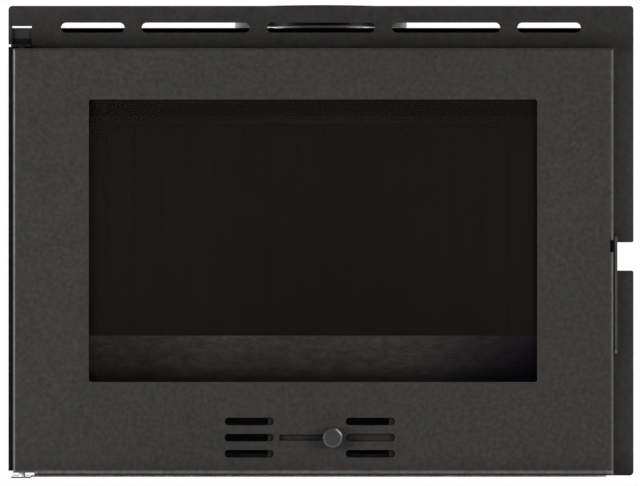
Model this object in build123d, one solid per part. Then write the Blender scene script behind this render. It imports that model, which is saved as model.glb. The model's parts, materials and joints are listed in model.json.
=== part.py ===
from build123d import *
import os

# Fireplace insert. X runs to the right, Y into the chimney, Z up, in millimetres.
# The origin is the middle of the base, where the back of the face plate meets the wall.

# Clearances
FIT = 0.05              # radial play of a pin in its hole
GAP = 0.3               # play between pieces that slide or swing past each other

# Face plate
FRAME_W = 700
FRAME_H = 526
FRAME_FOOT_GAP = 0.2    # from the base plate's top to the face plate's bottom edge
FRAME_T = 3
FRAME_CORNER = 4.5
TOP_SLOT_H = 11.2
TOP_SLOT_DROP = 24.3    # from the plate's top edge to the slots' middle
TOP_SLOT_LONG = 121
TOP_SLOT_SHORT = 71
TOP_SLOT_PITCH = 140.3
TOP_SLOT_INSET = 94.4   # from the plate's edge to the middle of its outer slot
NOTCH_DEPTH = 18.2
NOTCH_RISE = 229.5      # above the face plate's bottom edge, as the next ones of this name are
NOTCH_H = 31.7
NOTCH_CORNER = 2
CUT_AWAY_SIDE = 2.9     # room beside the lower hinge ear
CUT_AWAY_ABOVE = 5.5    # room above it
EAR_SLOT_ABOVE = 21     # room above the upper hinge ear
EDGE_RELIEF_W = 3.4
EDGE_RELIEF_GAP = 2.8   # above the door
EDGE_RELIEF_H = 2.8

# Fire chamber, a welded box of 4 mm plate
CHAMBER_INSET = 34      # from the casing's outside to the chamber's inside, at each side
CHAMBER_DEPTH = 341     # inside
CHAMBER_RISE = 20       # the floor's underside, above the face plate's bottom edge
CHAMBER_HEADROOM = 48   # from the inside of its top to the casing's top
CHAMBER_T = 4
MOUTH_LAP = 1           # the face plate covers the chamber's edge by this much
MOUTH_SILL = 2          # height of the face plate's sill above the chamber floor
MOUTH_HEAD = 4          # the same at the top

# Casing of thin sheet
CASING_INSET = 30       # from the face plate's edge to the casing, at each side
CASING_DROP = 24.6      # from the face plate's top edge to the casing's top
CASING_DEPTH = 400
CASING_T = 1.5
CASING_LIP = 15
BASE_T = 1.5
INLET_L = 60
INLET_H = 12
INLET_Z = 30
INLET_PITCH = 90
INLET_COUNT = 6
RAIL_X = 200
RAIL_W = 30
RAIL_T = 3
SCREW_R = 1.9
SCREW_HEAD_R = 4
SCREW_HEAD_T = 2.2
SCREW_EDGE = 8
SCREW_CROSS_L = 4.4
SCREW_CROSS_W = 1
SCREW_CROSS_D = 1.2
SCREW_TURN = 23         # each screw stands this many degrees further round than the last

# Flue collar
FLUE_Y = 175
FLUE_R = 99             # outside of the spigot
FLUE_T = 3
FLUE_RISE = 29.1        # above the casing's top
FLUE_FLANGE_R = 124
FLUE_FLANGE_T = 4

# Hinge
PIN_INSET = 9.3         # from the door's left edge
PIN_DEPTH = 16          # behind the door's front
PIN_R = 2.8
PIN_SHOULDER_R = 3.5
BUSH_R = 5.5
BUSH_L = 10
EAR_W = 22
EAR_SHIFT = -0.9        # from the pin's axis to the ear's middle
EAR_NOSE = 8            # from the pin's axis to the ear's front
UPPER_EAR_GAP = 2.1     # above the door
BRACKET_T = 3
BRACKET_H = 60
BRACKET_LAP = 1.5       # behind the face plate, beside the ear

# Door pan
DOOR_INSET_LEFT = 6.7   # from the face plate's left edge
DOOR_INSET_RIGHT = 23.9
DOOR_RISE = 1.3
DOOR_DROP = 48.7        # from the face plate's top edge to the door's top
DOOR_T = 3
DOOR_GAP = 8            # from the face plate to the pan's rear rim
DOOR_DEPTH = 25
DOOR_BEND = 3
STEP_W = 24.2
STEP_H = 3.1
INNER_FRAME_T = 2
WINDOW_LEFT = 84.5      # from the door's left edge
WINDOW_RIGHT = 84.9     # from its right edge
WINDOW_DROP = 57        # from the door's top to the window's
WINDOW_SILL = 104.2     # from the door's bottom to the window's
WINDOW_CORNER = 3

# Seal rope and its channel
ROPE_R = 5
ROPE_BESIDE = 8         # from the chamber's inside to the rope's middle, at each side
ROPE_RISE = 17
ROPE_ABOVE = 5          # above the chamber
ROPE_CORNER = 20
CHANNEL_WALL = 2
CHANNEL_GAP = 6         # from the face plate to the channel's walls

# Glass
GLASS_T = 4
GLASS_LAP = 15
TAPE_T = 2
TAPE_W = 12
CLIP_T = 2
CLIP_W = 22
CLIP_FOOT = 9
CLIP_TONGUE = 7
CLIP_EDGE = 0.5
CLIP_SIDE_Z = 90
CLIP_TOP_X = 150
STUD_R = 2
STUD_L = 9
NUT_AF = 7
NUT_T = 3.2

# Air vents and shutter
VENT_L = 55
VENT_H = 8.5
VENT_PITCH = 18
VENT_RISE = 43.6        # middle row
VENT_SHIFT = -3.8       # from the door's middle to the middle of the vents
VENT_SPREAD = 67.5      # from there to the middle of each group
SLIDE_L = 68
SLIDE_H = 7
SHUTTER_T = 2
SHUTTER_SHIFT = -6      # the shutter's slots stand this far to the left of the door's vents
SHUTTER_LAP = 6.2
SHUTTER_END = 8         # solid plate past the last slot
GUIDE_W = 5
GUIDE_LAP = 4
GUIDE_T = 2
KNOB_REST = 8.6         # from the slide slot's right end
KNOB_R = 11
KNOB_T = 10
KNOB_REACH = 14         # in front of the door
KNOB_EDGE = 2.2
STEM_R = 2.8
STEM_COLLAR_R = 5.5
STEM_NUT_AF = 10
STEM_NUT_T = 4
STEM_END = 1            # thread past the nut

# Latch
LEVER_T = 3
LEVER_GAP = 1.8         # from the door's right edge to the lever's wing
LEVER_D = 20.7
LEVER_RISE = 136.4
LEVER_L = 131.8
LEVER_FOOT_H = 21
LEVER_FOOT_END = 8.5    # from the pivot to the foot's end
PIVOT_INSET = 13.1      # from the door's right edge
PIVOT_R = 3
PIVOT_HEAD_R = 5
PIVOT_HEAD_T = 3
PIVOT_SOCKET_AF = 4
PIVOT_SOCKET_D = 1.8
CATCH_RISE = 250.2
CATCH_H = 13.4
CATCH_W = 4.2           # from the door's right edge
CATCH_D = 22
NOSE_PLAY = 1.2
NOSE_D = 5
NOSE_TIP_GAP = 0.4

# Fire bed
ASH_HALF_W = 150        # inside face of the ash bay
ASH_T = 3
ASH_FRONT = 5
HEARTH_RISE = 84
HEARTH_T = 8
HEARTH_FRONT = 4
GRATE_W = 214
GRATE_D = 154
GRATE_T = 6
GRATE_LEDGE = 7
GRATE_Y = 180
GRATE_BARS = 9
GRATE_SLOT_W = 10
RUNNER_T = 3
RUNNER_W = 20
DRAWER_T = 1.5
DRAWER_HEADROOM = 8.7   # under the hearth plate
DRAWER_FRONT = 10
DRAWER_TAIL = 21        # room behind the drawer
DRAWER_PLAY = 2
HANDLE_W = 60
HANDLE_REACH = 16
HANDLE_H = 8
HANDLE_T = 3
LINER_T = 12
LINER_FRONT = 62
SMOKE_GAP = 48          # above the baffle
FLUTE_W = 8
FLUTE_DEPTH = 4
FLUTE_PITCH = 32
BAFFLE_T = 8
BAFFLE_FRONT = 120
GUARD_Y = 38
GUARD_T = 4
GUARD_RISE = 155.8
GUARD_FOOT = 20
WASH_FRONT = 4
WASH_D = 30
WASH_DROP = 24
WASH_T = 3


def block(x0, x1, y0, y1, z0, z1):
    """A box given by its limits along each axis."""
    middle = Pos((x0 + x1) / 2, (y0 + y1) / 2, (z0 + z1) / 2)
    return middle * Box(x1 - x0, y1 - y0, z1 - z0)


def upright(outline, front, back):
    """An outline drawn in X and Z, made solid from its front to its back."""
    return Pos(0, back, 0) * Rot(90, 0, 0) * extrude(outline, amount=back - front)


def rounded(x0, x1, z0, z1, radius):
    """A rounded rectangle in X and Z."""
    return Pos((x0 + x1) / 2, (z0 + z1) / 2) * RectangleRounded(x1 - x0, z1 - z0, radius)


def rectangle(x0, x1, z0, z1):
    """A plain rectangle in X and Z."""
    return Pos((x0 + x1) / 2, (z0 + z1) / 2) * Rectangle(x1 - x0, z1 - z0)


def slot(x, z, length, height):
    return Pos(x, z) * SlotOverall(length, height)


def rod_z(x, y, radius, low, high):
    return Pos(x, y, (low + high) / 2) * Cylinder(radius, high - low)


def rod_y(x, z, radius, front, back):
    return Pos(x, (front + back) / 2, z) * Rot(90, 0, 0) * Cylinder(radius, back - front)


def nut_y(x, z, across_flats, front, back):
    """A hexagon nut on an axis along Y, without its hole."""
    hexagon = RegularPolygon(across_flats / 2, 6, major_radius=False)
    return upright(Pos(x, z) * hexagon, front, back)


# Places that several pieces share

frame_half_w = FRAME_W / 2
frame_bottom = BASE_T + FRAME_FOOT_GAP
frame_top = frame_bottom + FRAME_H
notch_low = frame_bottom + NOTCH_RISE
casing_top = frame_top - CASING_DROP
casing_half_w = frame_half_w - CASING_INSET
chamber_half_w = casing_half_w - CHAMBER_INSET
mouth_half_w = chamber_half_w - MOUTH_LAP
chamber_bottom = frame_bottom + CHAMBER_RISE
chamber_floor = chamber_bottom + CHAMBER_T
chamber_top = casing_top - CHAMBER_HEADROOM
mouth_low = chamber_floor + MOUTH_SILL
mouth_high = chamber_top - MOUTH_HEAD
chamber_outer_half_w = chamber_half_w + CHAMBER_T

casing_inner_half_w = casing_half_w - CASING_T
casing_back_front = CASING_DEPTH - CASING_T
lip_front = casing_back_front - CASING_T

door_left = DOOR_INSET_LEFT - frame_half_w
door_right = frame_half_w - DOOR_INSET_RIGHT
door_x = (door_left + door_right) / 2
door_w = door_right - door_left
door_bottom = frame_bottom + DOOR_RISE
door_top = frame_top - DOOR_DROP
door_h = door_top - door_bottom
door_rear = -FRAME_T - DOOR_GAP
door_front = door_rear - DOOR_DEPTH
pan_back = door_front + DOOR_T          # the back of the door's front sheet
step_top = door_bottom + STEP_H         # underside of the stepped corner
step_right = door_left + STEP_W

pin_x = door_left + PIN_INSET
pin_y = door_front + PIN_DEPTH
ear_x = pin_x + EAR_SHIFT
ear_left = ear_x - EAR_W / 2
ear_right = ear_x + EAR_W / 2
ear_front = pin_y - EAR_NOSE
upper_ear_z = door_top + UPPER_EAR_GAP

window_left = door_left + WINDOW_LEFT
window_right = door_right - WINDOW_RIGHT
window_x = (window_left + window_right) / 2
window_low = door_bottom + WINDOW_SILL
window_high = door_top - WINDOW_DROP
window_z = (window_low + window_high) / 2
glass_left = window_left - GLASS_LAP
glass_right = window_right + GLASS_LAP
glass_low = window_low - GLASS_LAP
glass_high = window_high + GLASS_LAP
glass_front = pan_back + TAPE_T
glass_back = glass_front + GLASS_T

rope_low = frame_bottom + ROPE_RISE
rope_high = chamber_top + ROPE_ABOVE
rope_half_w = chamber_half_w + ROPE_BESIDE
rope_y = -FRAME_T - GAP - ROPE_R
web_back = rope_y - ROPE_R - GAP
web_front = web_back - CHANNEL_WALL
channel_half = ROPE_R + GAP + CHANNEL_WALL
channel_rear = -FRAME_T - CHANNEL_GAP

vent_x = door_x + VENT_SHIFT
vent_z = frame_bottom + VENT_RISE
vent_left_x = vent_x - VENT_SPREAD
vent_right_x = vent_x + VENT_SPREAD
slide_left = vent_x - SLIDE_L / 2
slide_right = vent_x + SLIDE_L / 2
knob_x = slide_right - KNOB_REST
knob_front = door_front - KNOB_REACH
knob_back = knob_front + KNOB_T
travel_left = knob_x - STEM_R - GAP - slide_left
travel_right = slide_right - GAP - STEM_R - knob_x
shutter_left = vent_left_x + SHUTTER_SHIFT - VENT_L / 2 - SHUTTER_END
shutter_right = vent_right_x + VENT_L / 2 + travel_left + SHUTTER_END
shutter_front = pan_back + GAP
shutter_back = shutter_front + SHUTTER_T
guide_lip_front = shutter_back + GAP
guide_back = guide_lip_front + GUIDE_T
vent_reach = VENT_PITCH + VENT_H / 2
shutter_low = vent_z - vent_reach - SHUTTER_LAP
shutter_high = vent_z + vent_reach + SHUTTER_LAP

lever_back = -FRAME_T - GAP
lever_front = lever_back - LEVER_D
lever_foot_front = lever_back - LEVER_T
lever_x = door_right + LEVER_GAP
pivot_x = door_right - PIVOT_INSET
lever_low = frame_bottom + LEVER_RISE
pivot_z = lever_low + LEVER_FOOT_H / 2
catch_low = frame_bottom + CATCH_RISE

hearth_bottom = frame_bottom + HEARTH_RISE
drawer_low = chamber_floor + RUNNER_T + GAP
drawer_half_w = ASH_HALF_W - DRAWER_PLAY
drawer_high = hearth_bottom - DRAWER_HEADROOM
drawer_back = CHAMBER_DEPTH - DRAWER_TAIL
hearth_top = hearth_bottom + HEARTH_T
liner_top = chamber_top - SMOKE_GAP - BAFFLE_T
guard_top = frame_bottom + GUARD_RISE


def front_frame():
    """Face plate: chimney mouth, convection slots, hinge slot and finger notch."""
    slot_z = frame_top - TOP_SLOT_DROP
    plate = rounded(-frame_half_w, frame_half_w, frame_bottom, frame_top, FRAME_CORNER)
    plate -= rounded(-mouth_half_w, mouth_half_w, mouth_low, mouth_high, FRAME_CORNER)
    for column in (-1, 0, 1):
        plate -= slot(column * TOP_SLOT_PITCH, slot_z, TOP_SLOT_LONG, TOP_SLOT_H)
    for side in (-1, 1):
        outer_x = side * (frame_half_w - TOP_SLOT_INSET)
        plate -= slot(outer_x, slot_z, TOP_SLOT_SHORT, TOP_SLOT_H)
    ear_slot_low = upper_ear_z - GAP
    ear_slot_top = upper_ear_z + BRACKET_T + EAR_SLOT_ABOVE
    plate -= rectangle(ear_left, ear_right, ear_slot_low, ear_slot_top)
    relief_right = EDGE_RELIEF_W - frame_half_w
    relief_low = door_top + EDGE_RELIEF_GAP
    plate -= rectangle(-frame_half_w, relief_right, relief_low, relief_low + EDGE_RELIEF_H)
    cut_away_top = BASE_T + CUT_AWAY_ABOVE
    plate -= rectangle(-frame_half_w, ear_right + CUT_AWAY_SIDE, frame_bottom, cut_away_top)
    plate -= rectangle(frame_half_w - NOTCH_DEPTH, frame_half_w, notch_low, notch_low + NOTCH_H)
    notch_middle = notch_low + NOTCH_H / 2
    edge_corners = plate.vertices().group_by(Axis.X)[-1]
    notch_corners = edge_corners.sort_by(lambda corner: abs(corner.Y - notch_middle))[:2]
    plate = fillet(notch_corners, NOTCH_CORNER)
    body = upright(plate, -FRAME_T, 0)
    return body - rod_y(pivot_x, pivot_z, PIVOT_R + FIT, -FRAME_T, 0)


def jacket_wrap():
    """Casing: left side, top and right side folded from one sheet, with rear lips."""
    low = BASE_T
    inner_top = casing_top - CASING_T
    outer = block(-casing_half_w, casing_half_w, 0, casing_back_front, low, casing_top)
    inner = block(-casing_inner_half_w, casing_inner_half_w, 0, lip_front, low, inner_top)
    lip_half_w = casing_inner_half_w - CASING_LIP
    lip_low = inner_top - CASING_LIP
    window = block(-lip_half_w, lip_half_w, lip_front, casing_back_front, low, lip_low)
    body = outer - inner - window
    body -= rod_z(0, FLUE_Y, FLUE_R + GAP, inner_top, casing_top)
    for x, z in jacket_screw_places():
        body -= rod_y(x, z, SCREW_R + FIT, lip_front, casing_back_front)
    return body


def jacket_screw_places():
    """Screws down both sides and along the top of the rear sheet."""
    side_x = casing_inner_half_w - SCREW_EDGE
    top_z = casing_top - CASING_T - SCREW_EDGE
    side_rows = 4
    row_pitch = (top_z - CASING_LIP) / side_rows
    places = []
    for row in range(side_rows):
        places.append((-side_x, CASING_LIP + row * row_pitch))
        places.append((side_x, CASING_LIP + row * row_pitch))
    for column in (-1, 0, 1):
        places.append((column * side_x, top_z))
    return places


def jacket_back():
    """Rear sheet of the casing, with a row of air inlets at the bottom."""
    sheet = Pos(0, (BASE_T + casing_top) / 2) * Rectangle(2 * casing_half_w, casing_top - BASE_T)
    for inlet in range(INLET_COUNT):
        x = (inlet - (INLET_COUNT - 1) / 2) * INLET_PITCH
        sheet -= slot(x, INLET_Z, INLET_L, INLET_H)
    body = upright(sheet, casing_back_front, CASING_DEPTH)
    for x, z in jacket_screw_places():
        body -= rod_y(x, z, SCREW_R + FIT, casing_back_front, CASING_DEPTH)
    return body


def jacket_screws():
    """Pan head screws of the rear sheet, each with a cross recess."""
    screws = []
    head_back = CASING_DEPTH + SCREW_HEAD_T
    for number, (x, z) in enumerate(jacket_screw_places()):
        shank = rod_y(x, z, SCREW_R, lip_front - SCREW_HEAD_T, CASING_DEPTH)
        head = rod_y(x, z, SCREW_HEAD_R, CASING_DEPTH, head_back)
        rim = head.edges().group_by(Axis.Y)[-1]
        screw = shank + fillet(rim, SCREW_HEAD_T / 2)
        cross = Box(SCREW_CROSS_L, SCREW_CROSS_D, SCREW_CROSS_W)
        cross += Box(SCREW_CROSS_W, SCREW_CROSS_D, SCREW_CROSS_L)
        cross_y = head_back - SCREW_CROSS_D / 2
        screws.append(screw - Pos(x, cross_y, z) * Rot(0, number * SCREW_TURN, 0) * cross)
    return screws


def base_plate():
    """Base of the casing. Its ear passes under the face plate and carries the lower pin."""
    body = block(-casing_half_w, casing_half_w, 0, CASING_DEPTH, 0, BASE_T)
    ear = block(ear_left, ear_right, ear_front, EAR_W, 0, BASE_T)
    corners = ear.edges().filter_by(Axis.Z).group_by(Axis.Y)[0]
    body += fillet(corners, BASE_T)
    body += block(ear_x, -casing_half_w, 0, EAR_W, 0, BASE_T)
    body -= rod_z(pin_x, pin_y, PIN_R + FIT, 0, BASE_T)
    return body


def upper_hinge_bracket():
    """Plate behind the face plate, with an ear that comes out through its slot."""
    left = ear_left + GAP
    right = ear_right - GAP
    plate_left = ear_left - BRACKET_LAP
    body = block(plate_left, -casing_half_w, 0, BRACKET_T, casing_top - BRACKET_H, casing_top)
    ear = block(left, right, ear_front, 0, upper_ear_z, upper_ear_z + BRACKET_T)
    corners = ear.edges().filter_by(Axis.Z).group_by(Axis.Y)[0]
    body += fillet(corners, BRACKET_T / 2)
    body -= rod_z(pin_x, pin_y, PIN_R + FIT, upper_ear_z, upper_ear_z + BRACKET_T)
    return body


def hinge_pin_upper():
    """Pin welded flush in the ear, down into the door's bush."""
    low = door_top - DOOR_T - BUSH_L
    return rod_z(pin_x, pin_y, PIN_R, low, upper_ear_z + BRACKET_T)


def hinge_pin_lower():
    """Shouldered pin, riveted in the base plate's ear. The door's weight rests on its shoulder."""
    shoulder = rod_z(pin_x, pin_y, PIN_SHOULDER_R, BASE_T, step_top - GAP)
    return shoulder + rod_z(pin_x, pin_y, PIN_R, 0, step_top + DOOR_T + BUSH_L)


def firebox_rails():
    """Channels that carry the fire chamber on the base plate."""
    rails = []
    for side in (-1, 1):
        x0 = side * RAIL_X - RAIL_W / 2
        x1 = side * RAIL_X + RAIL_W / 2
        rail = block(x0, x1, RAIL_T, CHAMBER_DEPTH, BASE_T, chamber_bottom)
        hollow_top = chamber_bottom - RAIL_T
        rail -= block(x0 + RAIL_T, x1 - RAIL_T, RAIL_T, CHAMBER_DEPTH, BASE_T, hollow_top)
        rails.append(rail)
    return rails


def firebox_floor():
    return block(-chamber_half_w, chamber_half_w, 0, CHAMBER_DEPTH, chamber_bottom, chamber_floor)


def firebox_wrap():
    """Left wall, back and right wall of the fire chamber, bent from one plate."""
    depth = CHAMBER_DEPTH + CHAMBER_T
    outer = block(-chamber_outer_half_w, chamber_outer_half_w, 0, depth, chamber_bottom, chamber_top)
    inner = block(-chamber_half_w, chamber_half_w, 0, CHAMBER_DEPTH, chamber_bottom, chamber_top)
    corners = outer.edges().filter_by(Axis.Z).group_by(Axis.Y)[-1]
    return fillet(corners, CHAMBER_T) - inner


def firebox_top():
    depth = CHAMBER_DEPTH + CHAMBER_T
    top = chamber_top + CHAMBER_T
    body = block(-chamber_outer_half_w, chamber_outer_half_w, 0, depth, chamber_top, top)
    return body - rod_z(0, FLUE_Y, FLUE_R - FLUE_T, chamber_top, top)


def flue_ring(outer_r, low, high):
    """A ring round the flue's bore."""
    return rod_z(0, FLUE_Y, outer_r, low, high) - rod_z(0, FLUE_Y, FLUE_R - FLUE_T, low, high)


def flue_neck():
    """Tube from the fire chamber up through the hole in the casing's top."""
    return flue_ring(FLUE_R, chamber_top + CHAMBER_T, casing_top)


def flue_flange():
    """Ring that covers the hole in the casing's top and carries the spigot."""
    return flue_ring(FLUE_FLANGE_R, casing_top, casing_top + FLUE_FLANGE_T)


def flue_collar():
    """Spigot for the flue pipe, bevelled at its foot for the weld."""
    body = flue_ring(FLUE_R, casing_top + FLUE_FLANGE_T, casing_top + FLUE_RISE)
    rims = body.edges().group_by(Axis.Z)
    outer_foot = rims[0].sort_by(SortBy.RADIUS)[-1]
    body = chamfer(outer_foot, FLUE_T / 3)
    return chamfer(body.edges().group_by(Axis.Z)[-1], FLUE_T / 4)


def ash_bay():
    """Side plates that carry the hearth plate and guide the ash drawer."""
    plates = []
    for side in (-1, 1):
        inside = side * ASH_HALF_W
        outside = side * (ASH_HALF_W + ASH_T)
        low_x = min(inside, outside)
        high_x = max(inside, outside)
        plates.append(block(low_x, high_x, ASH_FRONT, CHAMBER_DEPTH, chamber_floor, hearth_bottom))
    return plates


def hearth_skirt():
    """Plates that close the ash bay's front on both sides of the drawer."""
    plates = []
    for side in (-1, 1):
        inside = side * (ASH_HALF_W + ASH_T)
        outside = side * (chamber_half_w - GAP)
        low_x = min(inside, outside)
        high_x = max(inside, outside)
        front = ASH_FRONT
        plates.append(block(low_x, high_x, front, front + ASH_T, chamber_floor, hearth_bottom))
    return plates


def drawer_runners():
    bars = []
    for side in (-1, 1):
        inside = side * (ASH_HALF_W - RUNNER_W)
        outside = side * ASH_HALF_W
        low_x = min(inside, outside)
        high_x = max(inside, outside)
        top = chamber_floor + RUNNER_T
        bars.append(block(low_x, high_x, ASH_FRONT, CHAMBER_DEPTH, chamber_floor, top))
    return bars


def hearth_plate():
    """Cast iron fire bed, with a ledge that holds the grate."""
    half_w = chamber_half_w - GAP
    body = block(-half_w, half_w, HEARTH_FRONT, CHAMBER_DEPTH - GAP, hearth_bottom, hearth_top)
    seat_w = GRATE_W / 2 + GAP
    seat_d = GRATE_D / 2 + GAP
    seat_z = hearth_top - GRATE_T
    body -= block(-seat_w, seat_w, GRATE_Y - seat_d, GRATE_Y + seat_d, seat_z, hearth_top)
    hole_w = GRATE_W / 2 - GRATE_LEDGE
    hole_d = GRATE_D / 2 - GRATE_LEDGE
    body -= block(-hole_w, hole_w, GRATE_Y - hole_d, GRATE_Y + hole_d, hearth_bottom, seat_z)
    return body


def grate():
    """Slotted cast iron grate in the middle of the hearth plate."""
    seat_z = hearth_top - GRATE_T
    plate = Pos(0, GRATE_Y) * Rectangle(GRATE_W, GRATE_D)
    slot_length = GRATE_D - 4 * GRATE_LEDGE
    pitch = (GRATE_W - 2 * GRATE_LEDGE) / GRATE_BARS
    for bar in range(GRATE_BARS):
        x = (bar - (GRATE_BARS - 1) / 2) * pitch
        plate -= Pos(x, GRATE_Y) * Rot(0, 0, 90) * SlotOverall(slot_length, GRATE_SLOT_W)
    return Pos(0, 0, seat_z) * extrude(plate, amount=GRATE_T)


def liner_side(side):
    """Cast iron liner on one side wall, with upright flutes on its face."""
    wall = chamber_half_w - GAP
    low_x = min(side * wall, side * (wall - LINER_T))
    high_x = max(side * wall, side * (wall - LINER_T))
    back = CHAMBER_DEPTH - GAP
    body = block(low_x, high_x, LINER_FRONT, back, hearth_top, liner_top)
    face_x = side * (wall - LINER_T)
    left, right = face_x - FLUTE_DEPTH, face_x + FLUTE_DEPTH
    usable = back - LINER_T - LINER_FRONT
    flutes = int(usable // FLUTE_PITCH)
    half = FLUTE_W / 2
    for flute in range(flutes):
        y = LINER_FRONT + (flute + 0.5) * usable / flutes
        body -= block(left, right, y - half, y + half, hearth_top, liner_top)
    return body


def liner_back():
    """Cast iron liner on the back wall, between the side liners."""
    half_w = chamber_half_w - LINER_T - 2 * GAP
    back = CHAMBER_DEPTH - GAP
    body = block(-half_w, half_w, back - LINER_T, back, hearth_top, liner_top)
    flutes = int(2 * half_w // FLUTE_PITCH)
    half = FLUTE_W / 2
    face = back - LINER_T
    for flute in range(flutes):
        x = (flute - (flutes - 1) / 2) * FLUTE_PITCH
        body -= block(x - half, x + half, face, face + FLUTE_DEPTH, hearth_top, liner_top)
    return body


def baffle_plate():
    """Smoke baffle, laid on the liners, with the smoke path at its front."""
    half_w = chamber_half_w - GAP
    back = CHAMBER_DEPTH - GAP
    return block(-half_w, half_w, BAFFLE_FRONT, back, liner_top, liner_top + BAFFLE_T)


def log_guard():
    """Upright plate that keeps the logs off the glass, with a foot on the hearth plate."""
    half_w = chamber_half_w - GAP
    body = block(-half_w, half_w, GUARD_Y, GUARD_Y + GUARD_T, hearth_top, guard_top)
    foot_back = GUARD_Y + GUARD_FOOT
    body += block(-half_w, half_w, GUARD_Y, foot_back, hearth_top, hearth_top + GUARD_T)
    return body


def airwash_deflector():
    """Bent strip under the chamber's top that turns the air down over the glass."""
    half_w = chamber_half_w - GAP
    back = WASH_FRONT + WASH_D
    top = chamber_top
    body = block(-half_w, half_w, WASH_FRONT, back, top - WASH_T, top)
    body += block(-half_w, half_w, back - WASH_T, back, top - WASH_DROP, top)
    return body


def door_panel():
    """Folded pan with its window, vents, slide slot, latch slot and stepped hinge corner."""
    left, right = door_left, door_right
    centre = Pos((left + right) / 2, (door_bottom + door_top) / 2)
    outline = centre * Rectangle(door_w, door_h)
    corner = Rectangle(STEP_W, STEP_H, align=(Align.MIN, Align.MIN))
    outline -= Pos(left, door_bottom) * corner
    body = upright(outline, door_front, door_rear)
    front_face = body.faces().sort_by(Axis.Y)[0]
    body = fillet(front_face.outer_wire().edges(), DOOR_BEND)

    hollow = centre * Rectangle(door_w - 2 * DOOR_T, door_h - 2 * DOOR_T)
    hollow -= Pos(left + DOOR_T, door_bottom + DOOR_T) * corner
    body -= upright(hollow, pan_back, door_rear)

    window = rounded(window_left, window_right, window_low, window_high, WINDOW_CORNER)
    body -= upright(window, door_front, pan_back)
    for row in (-1, 0, 1):
        for x in (vent_left_x, vent_right_x):
            vent = slot(x, vent_z + row * VENT_PITCH, VENT_L, VENT_H)
            body -= upright(vent, door_front, pan_back)
    half_h = SLIDE_H / 2
    body -= block(slide_left, slide_right, door_front, pan_back, vent_z - half_h, vent_z + half_h)
    catch_top = catch_low + CATCH_H
    body -= block(right - CATCH_W, right, door_front, door_front + CATCH_D, catch_low, catch_top)
    for x, z, turn in clip_places():
        body += rod_y(x, z, STUD_R, pan_back, pan_back + STUD_L)
    body -= rod_z(pin_x, pin_y, PIN_R + FIT, door_top - DOOR_T, door_top)
    body -= rod_z(pin_x, pin_y, PIN_R + FIT, step_top, step_top + DOOR_T)
    return body


def hinge_bushes():
    """Bushes welded in the pan's corners, round the hinge pins."""
    bushes = []
    lower = step_top + DOOR_T
    upper = door_top - DOOR_T - BUSH_L
    for low in (lower, upper):
        bush = rod_z(pin_x, pin_y, BUSH_R, low, low + BUSH_L)
        bushes.append(bush - rod_z(pin_x, pin_y, PIN_R + FIT, low, low + BUSH_L))
    return bushes


def inner_frame():
    """Flat frame that closes the back of the pan round the fire chamber's mouth."""
    back = web_front
    front = back - INNER_FRAME_T
    left, right = door_left + DOOR_T, door_right - DOOR_T
    low, high = door_bottom + DOOR_T, door_top - DOOR_T
    body = block(left, right, front, back, low, high)
    half_w = rope_half_w - channel_half
    opening_low = rope_low + channel_half
    opening_high = rope_high - channel_half
    opening = rounded(-half_w, half_w, opening_low, opening_high, ROPE_CORNER - channel_half)
    body -= upright(opening, front, back)
    corner_right = max(pin_x + BUSH_R, step_right + DOOR_T) + GAP
    lower_bush_top = step_top + DOOR_T + BUSH_L
    body -= block(left, corner_right, front, back, low, lower_bush_top + GAP)
    upper_bush_low = high - BUSH_L
    body -= block(left, corner_right, front, back, upper_bush_low - GAP, high)
    return body


def rope_ring(half, front, back):
    """A ring along the rope's line, reaching half its width to each side."""
    outer = rounded(-rope_half_w - half, rope_half_w + half, rope_low - half, rope_high + half,
                    ROPE_CORNER + half)
    inner = rounded(-rope_half_w + half, rope_half_w - half, rope_low + half, rope_high - half,
                    ROPE_CORNER - half)
    return upright(outer - inner, front, back)


def rope_channel():
    """U channel on the inner frame that holds the seal rope."""
    body = rope_ring(channel_half, web_front, channel_rear)
    return body - rope_ring(channel_half - CHANNEL_WALL, web_back, channel_rear)


def door_gasket():
    """Seal rope, round in section, in one loop."""
    x, r = rope_half_w, ROPE_CORNER
    line = RectangleRounded(2 * x, rope_high - rope_low, r).face().outer_wire()
    placed = Pos(0, rope_y, (rope_low + rope_high) / 2) * Rot(90, 0, 0) * line
    start = placed.edges().filter_by(GeomType.LINE).sort_by(Axis.Z)[0]
    section = Plane(start @ 0, z_dir=start % 0) * Circle(ROPE_R)
    return sweep(section, path=placed)


def glass_pane():
    pane = rounded(glass_left, glass_right, glass_low, glass_high, WINDOW_CORNER)
    return upright(pane, glass_front, glass_back)


def glass_gasket():
    """Flat tape between the glass and the door's sheet."""
    outer = rounded(glass_left, glass_right, glass_low, glass_high, WINDOW_CORNER)
    inner = rounded(glass_left + TAPE_W, glass_right - TAPE_W, glass_low + TAPE_W,
                    glass_high - TAPE_W, WINDOW_CORNER)
    return upright(outer - inner, pan_back, glass_front)


def clip_places():
    """Stud positions round the glass, with the turn that points each clip at the glass."""
    reach = CLIP_EDGE + CLIP_T + CLIP_FOOT / 2
    places = []
    for side in (-1, 1):
        z = window_z + side * CLIP_SIDE_Z
        places.append((glass_left - reach, z, 0))
        places.append((glass_right + reach, z, 180))
        x = window_x + side * CLIP_TOP_X
        places.append((x, glass_low - reach, -90))
        places.append((x, glass_high + reach, 90))
    return places


def glass_clip():
    """Z shaped clip at the origin, stud hole at X 0, tongue towards +X, seen with Y as depth."""
    half_w = CLIP_W / 2
    half_foot = CLIP_FOOT / 2
    riser = half_foot + CLIP_T
    tip = riser + CLIP_TONGUE
    over = glass_back - pan_back
    clip = block(-half_foot, riser, 0, CLIP_T, -half_w, half_w)
    clip += block(half_foot, riser, 0, over + CLIP_T, -half_w, half_w)
    clip += block(half_foot, tip, over, over + CLIP_T, -half_w, half_w)
    return clip - rod_y(0, 0, STUD_R + FIT, 0, CLIP_T)


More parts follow.
